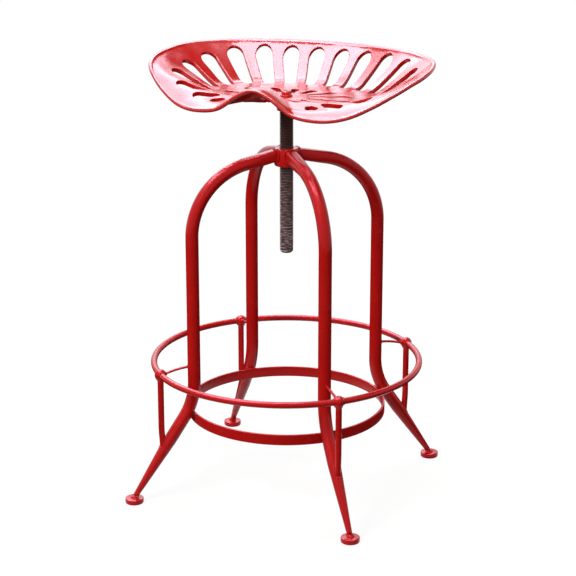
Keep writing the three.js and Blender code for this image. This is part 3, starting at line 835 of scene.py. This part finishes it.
def lower_band(rest, legs, gap):
    """Flat strip with softened edges, spun about the Z axis."""
    edge = 0.0009
    outer, top = band_reach(rest, legs, gap), rest.band_top
    inner, low = outer - rest.band_thickness, top - rest.band_width
    return turned(rounded([(inner, low, edge), (outer, low, edge), (outer, top, edge),
                           (inner, top, edge)], looped=True, steps=POINTS["band_edge"]),
                  SIDES["hoop"], looped=True)


def hub_weld(legs, post):
    """Line where a leg's squared end runs into the round of the hub."""
    leg_share, squareness, proud = 0.99, 3, 0.0004
    around = circle(POINTS["wide_weld"])
    c, s = np.cos(around), np.sin(around)
    square = (np.abs(c) ** squareness + np.abs(s) ** squareness) ** (-1 / squareness)
    across = legs.radius * leg_share
    y, z = across * c * square, across * s * square
    x = np.sqrt(post.hub_radius ** 2 - y ** 2)
    return np.stack([x + proud, y, legs.top - x * math.tan(legs.slope) + z], -1)


def band_weld(rest, legs, gap):
    """Short seam over the band's top edge at a leg. It bows down and inwards to its ends, where it
    also thins out, and it ripples on the way."""
    proud, sunk, bow, half_length = 0.0004, 0.0006, 0.0012, 0.0085
    thickness, blunt, ripple, ripples = 1.25, 1.02, 0.12, 22
    out_and_up = (1, 0, 0.2)
    t = np.linspace(-1, 1, POINTS["seam"])[:, None]
    line = np.hstack([band_reach(rest, legs, gap) + proud - bow * t ** 2, half_length * t,
                      rest.band_top - sunk - bow * t ** 2])
    radius = (rest.bead_radius * thickness * np.sqrt(blunt - t ** 2)
              * (1 + ripple * np.cos(ripples * t)))
    return sweep(line, radius[:, 0], out_and_up, SIDES["seam"])


def corner_welds(rest, legs, post):
    """Weld beads of one leg: at the hub, the foot, the strut's two ends, the eye's two mouths, the
    stay's two ends and the band."""
    east, north, up = (1, 0, 0), (0, 1, 0), (0, 0, 1)
    proud, leg_room, strut_room, stay_room, stay_depth = 0.0002, 0.0006, 0.0004, 0.0003, 0.0012
    foot_top = legs.foot_height + legs.foot_boss_height
    at_foot = ring_line((leg_reach(legs, foot_top), 0, foot_top + proud),
                        legs.foot_end_radius + leg_room, east, north, POINTS["weld"])
    rod = rest.strut_radius + strut_room
    around = circle(POINTS["wide_weld"])
    x, y = rest.ring_reach - STRUT_SET + rod * np.cos(around), rod * np.sin(around)
    at_strut = np.stack([x, y, leg_top_at(legs, x, y) + proud], -1)
    neck = math.sqrt(rest.eye_radius ** 2 - rod ** 2)
    under_eye = ring_line((rest.ring_reach, 0, rest.ring_height - neck), rod, east, north,
                          POINTS["weld"])
    mouth = math.sqrt(rest.eye_radius ** 2 - rest.rod_radius ** 2)
    mouths = [ring_line((rest.ring_reach, side * mouth, rest.ring_height),
                        rest.rod_radius + proud, east, up, POINTS["weld"]) for side in (-1, 1)]
    outer, inner = stay_ends(rest, legs)
    way = unit(inner - outer)
    inwards = way * stay_depth
    stay = [ring_line(end, rest.stay_radius + stay_room, north, np.cross(way, north),
                      POINTS["stay_weld"]) for end in (outer + inwards, inner - inwards)]
    # Each bead is a line, a thickness over the bead radius and a number of ripples.
    beads = [(hub_weld(legs, post), 1.15, 22), (at_foot, 0.7, 12), (at_strut, 0.9, 14),
             (under_eye, 0.8, 12), *[(line, 0.55, 11) for line in mouths],
             *[(line, 0.6, 8) for line in stay]]
    return join(*[bead(line, rest.bead_radius * thickness, ripples)
                  for line, thickness, ripples in beads], band_weld(rest, legs, post.gap))


# Finishes


def add_node(tree, kind, inputs=None, **settings):
    """Adds a node, sets its properties, and gives each input, by name or number, a value or a
    link."""
    node = tree.nodes.new(kind)
    for name, value in settings.items():
        setattr(node, name, value)
    for name, value in (inputs or {}).items():
        if isinstance(value, bpy.types.NodeSocket):
            tree.links.new(value, node.inputs[name])
        else:
            node.inputs[name].default_value = value
    return node


def finish(name, surface, *values, **coat):
    """The material of that name. The first time, surface adds its nodes and gives its output."""
    if name not in bpy.data.materials:
        material = bpy.data.materials.new(name)
        material.use_nodes = True
        tree = material.node_tree
        tree.nodes.clear()
        add_node(tree, "ShaderNodeOutputMaterial", {"Surface": surface(tree, *values, **coat)})
    return bpy.data.materials[name]


# How the enamel lies: the size and the height of the grain that shows through it, and its
# roughness where it is glossiest and dullest. Sand shows through on the pan, and the marks of
# drawing on the tubes.
CAST_COAT = {"grain": 0.0022, "relief": 0.00012, "polish": (0.13, 0.22)}
TUBE_COAT = {"grain": 0.004, "relief": 0.00003, "polish": (0.19, 0.30)}


def gloss_enamel(tree, finishes, shine, grain, relief, polish):
    """Brushed gloss enamel, as on farm castings. It flows out to a wet shine, so the eye sees clear
    reflections that waver with the metal beneath, and a deeper red where the coat is thick. The
    shine tints what is reflected straight on; along the surface reflections stay white."""
    # The coat's thickness changes over 45 mm, and its orange peel is 6 mm from crest to crest.
    cloud_size, peel_size, peel_relief = 0.045, 0.006, 0.0001
    place = add_node(tree, "ShaderNodeTexCoord").outputs["Object"]
    cloud = add_node(tree, "ShaderNodeTexNoise", {
        "Vector": place, "Scale": 1 / cloud_size, "Detail": 3.0, "Roughness": 0.55})
    tint = add_node(tree, "ShaderNodeMix", {
        0: cloud.outputs["Fac"], 6: list(finishes.enamel), 7: list(finishes.enamel_thin)},
        data_type="RGBA")
    sand = add_node(tree, "ShaderNodeTexNoise", {
        "Vector": place, "Scale": 1 / grain, "Detail": 2.0, "Roughness": 0.5})
    peel = add_node(tree, "ShaderNodeTexNoise", {
        "Vector": place, "Scale": 1 / peel_size, "Detail": 1.0, "Roughness": 0.4})
    gloss = add_node(tree, "ShaderNodeMapRange", {
        "Value": cloud.outputs["Fac"], "From Min": 0.3, "From Max": 0.7,
        "To Min": polish[0], "To Max": polish[1]})
    sanded = add_node(tree, "ShaderNodeBump", {
        "Strength": 0.5, "Distance": relief, "Height": sand.outputs["Fac"]})
    peeled = add_node(tree, "ShaderNodeBump", {
        "Strength": 0.3, "Distance": peel_relief, "Height": peel.outputs["Fac"],
        "Normal": sanded.outputs["Normal"]})
    return add_node(tree, "ShaderNodeBsdfPrincipled", {
        "Base Color": tint.outputs[2], "Roughness": gloss.outputs["Result"],
        "Normal": peeled.outputs["Normal"], "IOR": 1.5,
        "Specular Tint": list(shine)}).outputs["BSDF"]


def oiled_thread_steel(tree, finishes, post):
    """Machined steel with old oil on it. The roots are nearly black, which is painted shade in the
    grooves, and the crests a dull brown grey. Towards the lower end the crests are rubbed to pale
    pink specks, which are worn steel and painted glints together."""
    # The oil lies in patches of 12 mm, and the pale specks, rubbed steel with painted glints, are
    # 9 mm round the thread and 2.2 mm along it. They begin 170 mm over the lower end.
    patch_size, speck_width, speck_height, worn_height = 0.012, 0.009, 0.0022, 0.17
    crest_depth = 0.0001
    place = add_node(tree, "ShaderNodeTexCoord").outputs["Object"]
    parts = add_node(tree, "ShaderNodeSeparateXYZ", {0: place})
    flat = add_node(tree, "ShaderNodeCombineXYZ", {0: parts.outputs[0], 1: parts.outputs[1]})
    reach = add_node(tree, "ShaderNodeVectorMath", {0: flat.outputs[0]}, operation="LENGTH")
    # Painted shade: from root to crest, so that the roots take the near-black root colour.
    crest = add_node(tree, "ShaderNodeMapRange", {
        "Value": reach.outputs["Value"], "From Min": post.radius - post.thread_depth,
        "From Max": post.radius - crest_depth})
    dirt = add_node(tree, "ShaderNodeTexNoise", {
        "Vector": place, "Scale": 1 / patch_size, "Detail": 5.0, "Roughness": 0.65})
    low = add_node(tree, "ShaderNodeMapRange", {
        "Value": parts.outputs[2], "From Min": post.bottom + worn_height,
        "From Max": post.bottom})
    along = add_node(tree, "ShaderNodeVectorMath", {
        0: place, 1: (1 / speck_width, 1 / speck_width, 1 / speck_height)}, operation="MULTIPLY")
    specks = add_node(tree, "ShaderNodeTexNoise", {
        "Vector": along.outputs[0], "Scale": 1.0, "Detail": 2.0, "Roughness": 0.5})
    # Painted glints: these specks paint pale pink highlights on the crests, along with rubbed
    # steel.
    bare = add_node(tree, "ShaderNodeMapRange", {
        "Value": specks.outputs["Fac"], "From Min": 0.3, "From Max": 0.8},
        interpolation_type="SMOOTHSTEP")
    speck_wear_and_glint = add_node(tree, "ShaderNodeMath", {
        0: low.outputs["Result"], 1: bare.outputs["Result"]}, operation="MULTIPLY")
    oiled = add_node(tree, "ShaderNodeMix", {
        0: dirt.outputs["Fac"], 6: list(finishes.thread_root_shade_and_oil), 7: list(finishes.thread_crest)},
        data_type="RGBA")
    worn = add_node(tree, "ShaderNodeMix", {
        0: speck_wear_and_glint.outputs[0], 6: oiled.outputs[2], 7: list(finishes.thread_wear_and_glint)}, data_type="RGBA")
    # The grooves are painted near black as shade; the crests take the oil, or the worn and glinting
    # colour.
    tint = add_node(tree, "ShaderNodeMix", {
        0: crest.outputs["Result"], 6: list(finishes.thread_root_shade_and_oil), 7: worn.outputs[2]},
        data_type="RGBA")
    gloss = add_node(tree, "ShaderNodeMapRange", {
        "Value": dirt.outputs["Fac"], "From Min": 0.3, "From Max": 0.7,
        "To Min": 0.36, "To Max": 0.6})
    return add_node(tree, "ShaderNodeBsdfPrincipled", {
        "Base Color": tint.outputs[2], "Metallic": 0.1, "Specular IOR Level": 0.2,
        "Roughness": gloss.outputs["Result"]}).outputs["BSDF"]


def studio_white(tree):
    """A number that is 1 where the camera, a reflection or a transparent piece looks, and 0 for the
    light that falls on the object."""
    path = add_node(tree, "ShaderNodeLightPath")
    seen = add_node(tree, "ShaderNodeMath", {
        0: path.outputs["Is Camera Ray"], 1: path.outputs["Is Glossy Ray"]}, operation="MAXIMUM")
    return add_node(tree, "ShaderNodeMath", {
        0: seen.outputs[0], 1: path.outputs["Is Transmission Ray"]},
        operation="MAXIMUM").outputs[0]


def pale_paper(tree, finishes, studio):
    """Matt studio paper that holds the shadow, brought up to white by a glow where it is seen.
    Beyond the fade it is plain white."""
    place = add_node(tree, "ShaderNodeTexCoord").outputs["Object"]
    reach = add_node(tree, "ShaderNodeVectorMath", {0: place}, operation="LENGTH")
    far = add_node(tree, "ShaderNodeMapRange", {
        "Value": reach.outputs["Value"], "From Min": studio.floor_fade[0],
        "From Max": studio.floor_fade[1]}, interpolation_type="SMOOTHSTEP")
    seen = studio_white(tree)
    glow = add_node(tree, "ShaderNodeMath", {0: seen, 1: studio.floor_glow}, operation="MULTIPLY")
    shade = add_node(tree, "ShaderNodeBsdfDiffuse", {"Color": list(finishes.floor)})
    lit = add_node(tree, "ShaderNodeEmission", {"Strength": glow.outputs[0]})
    near = add_node(tree, "ShaderNodeAddShader", {0: shade.outputs[0], 1: lit.outputs[0]})
    white = add_node(tree, "ShaderNodeEmission", {"Strength": seen})
    return add_node(tree, "ShaderNodeMixShader", {
        0: far.outputs["Result"], 1: near.outputs[0], 2: white.outputs[0]}).outputs[0]


def black_card(tree, finishes):
    """Matt black card, which gives the edges of the tubes and the rim something dark to reflect."""
    return add_node(tree, "ShaderNodeBsdfDiffuse", {"Color": list(finishes.card)}).outputs[0]


# Studio

# Each lamp has its place, which turns with the camera, its sides in metres, its watts and the place
# that it points at. The softboxes light the stool and are not mirrored in it. The gloss panels
# light nothing, and only show as reflections in the paint.
SOFTBOXES = {
    "key_softbox": ((-1.9, -2.0, 2.2), (1.4, 1.4), 80, (0, 0, 0.35)),
    "ceiling_softbox": ((0.0, 0.6, 3.2), (2.4, 2.4), 48, (0, 0, 0.4)),
    "fill_softbox": ((2.6, -0.6, 1.4), (1.4, 1.4), 9, (0, 0, 0.35)),
    "rear_softbox": ((0.9, 2.8, 2.0), (1.4, 1.4), 30, (0, 0, 0.35)),
}
GLOSS_PANELS = {
    "near_gloss": ((-0.91, -0.1, 2.8), (2.58, 1.6), 262, (-0.91, -0.1, 0)),
    "far_gloss": ((-0.75, 2.1, 2.8), (2.8, 2.8), 231, (-0.8, 1.7, 0)),
    "window_gloss": ((-0.6, 3.3, 2.05), (2.6, 1.5), 30, (0, 0, 0.6)),
}
# Linear red, green and blue of the gloss panels' light
PANEL_LIGHT = (0.9, 0.85, 1.0)


def put_stage(name, shape, material, seen):
    """Makes a piece of the studio. Unless it is seen, only reflections show it."""
    piece = make(name, shape, material)
    piece.visible_camera = piece.visible_diffuse = piece.visible_shadow = seen
    piece.visible_transmission = seen


def put_lamp(name, turn, place, size, watts, aim):
    """A lamp with a rectangular face, which the camera doesn't see."""
    lamp = bpy.data.lights.new(name, "AREA")
    lamp.shape, lamp.size, lamp.size_y, lamp.energy = "RECTANGLE", *size, watts
    light = bpy.data.objects.new(name, lamp)
    bpy.context.scene.collection.objects.link(light)
    light.location = spin(np.array(place, float), turn)
    light.rotation_euler = (light.location - Vector(aim)).to_track_quat("Z", "Y").to_euler()
    light.visible_camera = False
    return light


def put_lamps(turn):
    """The softboxes light the stool, and the gloss panels are mirrored in it."""
    for name, facts in SOFTBOXES.items():
        put_lamp(name, turn, *facts).visible_glossy = False
    for name, facts in GLOSS_PANELS.items():
        panel = put_lamp(name, turn, *facts)
        panel.visible_diffuse = False
        panel.data.color = PANEL_LIGHT


def studio_world(light):
    """Plain white where it is seen or mirrored, and a plain level of light on the stool."""
    world = bpy.data.worlds.new("studio_world")
    world.use_nodes = True
    tree = world.node_tree
    tree.nodes.clear()
    strength = add_node(tree, "ShaderNodeMapRange", {
        "Value": studio_white(tree), "To Min": light, "To Max": 1.0})
    sky = add_node(tree, "ShaderNodeBackground", {
        "Color": (1, 1, 1, 1), "Strength": strength.outputs["Result"]})
    add_node(tree, "ShaderNodeOutputWorld", {"Surface": sky.outputs[0]})
    return world


def studio_camera(studio):
    """Camera that looks at the stool's axis and down, from a turn round it."""
    camera = bpy.data.objects.new("studio_camera", bpy.data.cameras.new("studio_camera"))
    bpy.context.scene.collection.objects.link(camera)
    camera.data.lens, camera.data.clip_end = studio.lens, studio.view_reach
    turn, away = studio.camera_turn, studio.camera_distance
    camera.location = (away * math.sin(turn), -away * math.cos(turn), studio.camera_height)
    camera.rotation_euler = (math.pi / 2 - studio.camera_tilt, 0, turn + studio.camera_pan)
    return camera


# Operators: one for each piece or group of like pieces, and one for the stage


class StoolOperator:
    """What the operators share: the undo option, the sizes, the paints, and how they put a piece of
    the seat or of the frame."""
    bl_options = {"REGISTER", "UNDO"}

    @property
    def sizes(self):
        scene = bpy.context.scene
        return scene.stool_seat, scene.stool_post, scene.stool_legs, scene.stool_rest

    def put_seat(self, name, shape, node, slot="seat_enamel", **edges):
        """Puts a piece on the seat, in the enamel of the casting."""
        finishes = bpy.context.scene.stool_finishes
        paint = finish("gloss_enamel_on_cast_iron", gloss_enamel, finishes, finishes.pan_shine,
                       **CAST_COAT)
        put(name, shape, "seat", slot, paint, node, **edges)

    def put_frame(self, name, shape, *nodes):
        """Puts a piece on the frame, in the enamel of the tubes."""
        finishes = bpy.context.scene.stool_finishes
        paint = finish("gloss_enamel_on_steel_tube", gloss_enamel, finishes, finishes.tube_shine,
                       **TUBE_COAT)
        put(name, shape, "frame", "frame_enamel", paint, *nodes)

    def put_at_corners(self, *kinds):
        """Each kind of piece has a name, the name of the node that it stands for, if any, and a
        shape on +X, which is spun to the four corners."""
        for corner, bearing in CORNERS.items():
            for name, node, (points, faces) in kinds:
                nodes = [f"{node}_{corner}"] if node else []
                shape = spin(points, math.radians(bearing)), faces
                self.put_frame(f"{name}_{corner}", shape, *nodes)


class STOOL_OT_seat_pan(StoolOperator, bpy.types.Operator):
    """Make the slotted cast pan"""
    bl_idname = "stool.seat_pan"
    bl_label = "Seat pan"

    def execute(self, context):
        seat, _, _, _ = self.sizes
        self.put_seat("seat_pan_casting", seat_pan(seat), "seat_pan", merge=3e-6)
        return {"FINISHED"}


class STOOL_OT_seat_fastening(StoolOperator, bpy.types.Operator):
    """Make the boss under the pan, the bolt and its washer"""
    bl_idname = "stool.seat_fastening"
    bl_label = "Seat boss, bolt and washer"

    def execute(self, context):
        seat, post, _, _ = self.sizes
        self.put_seat("seat_boss_casting", seat_boss(seat, post), "seat_boss")
        self.put_seat("seat_bolt_head", seat_bolt(seat, post), "seat_bolt", "frame_enamel",
                      crease=28)
        self.put_seat("seat_bolt_washer", seat_washer(seat, post), "seat_washer", "frame_enamel")
        return {"FINISHED"}


class STOOL_OT_post(StoolOperator, bpy.types.Operator):
    """Make the threaded post"""
    bl_idname = "stool.post"
    bl_label = "Threaded post"

    def execute(self, context):
        seat, post, _, _ = self.sizes
        steel = finish("oiled_thread_steel", oiled_thread_steel, context.scene.stool_finishes,
                       post)
        put("post_screw", threaded_post(seat, post), "post", "post_steel", steel, "threaded_post")
        return {"FINISHED"}


class STOOL_OT_hub(StoolOperator, bpy.types.Operator):
    """Make the hub that the post winds through"""
    bl_idname = "stool.hub"
    bl_label = "Hub"

    def execute(self, context):
        _, post, _, _ = self.sizes
        self.put_frame("hub_collar", hub(post), "hub")
        return {"FINISHED"}


class STOOL_OT_legs(StoolOperator, bpy.types.Operator):
    """Make the four legs and their feet"""
    bl_idname = "stool.legs"
    bl_label = "Legs and feet"

    def execute(self, context):
        _, post, legs, _ = self.sizes
        self.put_at_corners(("leg_tube", "leg", leg(legs, post.hub_radius)),
                            ("foot_disc", "foot", foot(legs)))
        return {"FINISHED"}


class STOOL_OT_footrest(StoolOperator, bpy.types.Operator):
    """Make the footrest ring and the eyes, struts and stay rods that hold it"""
    bl_idname = "stool.footrest"
    bl_label = "Footrest ring and brackets"

    def execute(self, context):
        _, post, legs, rest = self.sizes
        self.put_frame("footrest_rod", footrest_ring(rest), "footrest_ring")
        self.put_at_corners(("bracket_ring_eye", "ring_eye", ring_eye(rest, post.gap)),
                            ("bracket_strut", "strut", strut(rest, legs)),
                            ("bracket_stay_rod", "stay_rod", stay_rod(rest, legs)))
        return {"FINISHED"}


class STOOL_OT_band(StoolOperator, bpy.types.Operator):
    """Make the flat band that ties the legs"""
    bl_idname = "stool.band"
    bl_label = "Lower band"

    def execute(self, context):
        _, post, legs, rest = self.sizes
        self.put_frame("tie_band", lower_band(rest, legs, post.gap), "lower_band")
        return {"FINISHED"}


class STOOL_OT_welds(StoolOperator, bpy.types.Operator):
    """Make the weld beads of the four legs"""
    bl_idname = "stool.welds"
    bl_label = "Weld beads"

    def execute(self, context):
        _, post, legs, rest = self.sizes
        self.put_at_corners(("weld_beads", None, corner_welds(rest, legs, post)))
        return {"FINISHED"}


class STOOL_OT_studio(StoolOperator, bpy.types.Operator):
    """Make the floor, the dark card and flag, the lamps, the world and the camera"""
    bl_idname = "stool.studio"
    bl_label = "Studio"

    def execute(self, context):
        scene = context.scene
        studio, finishes = scene.stool_studio, scene.stool_finishes
        corners, face = np.array([[-1, -1, 0], [1, -1, 0], [1, 1, 0], [-1, 1, 0]]), [[0, 1, 2, 3]]
        paper = finish("pale_studio_paper", pale_paper, finishes, studio)
        put_stage("studio_floor", (corners * studio.floor_reach, face), paper, True)
        card = finish("matt_black_card", black_card, finishes)
        around = circle(SIDES["card"])[:, None]
        put_stage("floor_card", strip(polar(np.array(studio.card_reach), around,
                                            studio.card_height)), card, False)
        middle = np.array([*studio.flag_place, studio.flag_height])
        half = np.array([*studio.flag_size, 0]) / 2
        put_stage("overhead_flag", (spin(middle + corners * half, studio.camera_turn), face), card,
                  False)
        put_lamps(studio.camera_turn)
        scene.world = studio_world(studio.world_light)
        scene.view_settings.view_transform = "Standard"
        scene.camera = studio_camera(studio)
        return {"FINISHED"}


OPERATORS = (STOOL_OT_seat_pan, STOOL_OT_seat_fastening, STOOL_OT_post, STOOL_OT_hub, STOOL_OT_legs,
             STOOL_OT_footrest, STOOL_OT_band, STOOL_OT_welds, STOOL_OT_studio)
GROUPS = {"stool_seat": SeatSizes, "stool_post": PostSizes, "stool_legs": LegSizes,
          "stool_rest": FootrestSizes, "stool_finishes": Finishes, "stool_studio": StudioSizes}


class STOOL_PT_panel(bpy.types.Panel):
    """The stool's operators and sizes in the sidebar"""
    bl_idname = "STOOL_PT_panel"
    bl_label = "Tractor seat stool"
    bl_space_type = "VIEW_3D"
    bl_region_type = "UI"
    bl_category = "Stool"

    def draw(self, context):
        for operator in OPERATORS:
            self.layout.operator(operator.bl_idname)
        for group in GROUPS:
            sizes = getattr(context.scene, group)
            box = self.layout.box()
            for name in sizes.bl_rna.properties.keys():
                if name not in {"rna_type", "name"}:
                    box.prop(sizes, name)


CLASSES = (*GROUPS.values(), *OPERATORS, STOOL_PT_panel)


def register():
    for cls in CLASSES:
        bpy.utils.register_class(cls)
    for name, group in GROUPS.items():
        setattr(bpy.types.Scene, name, PointerProperty(type=group))


def unregister():
    for name in GROUPS:
        delattr(bpy.types.Scene, name)
    for cls in reversed(CLASSES):
        bpy.utils.unregister_class(cls)


def main():
    register()
    for operator in OPERATORS:
        family, name = operator.bl_idname.split(".")
        getattr(getattr(bpy.ops, family), name)()


if __name__ == "__main__":
    main()
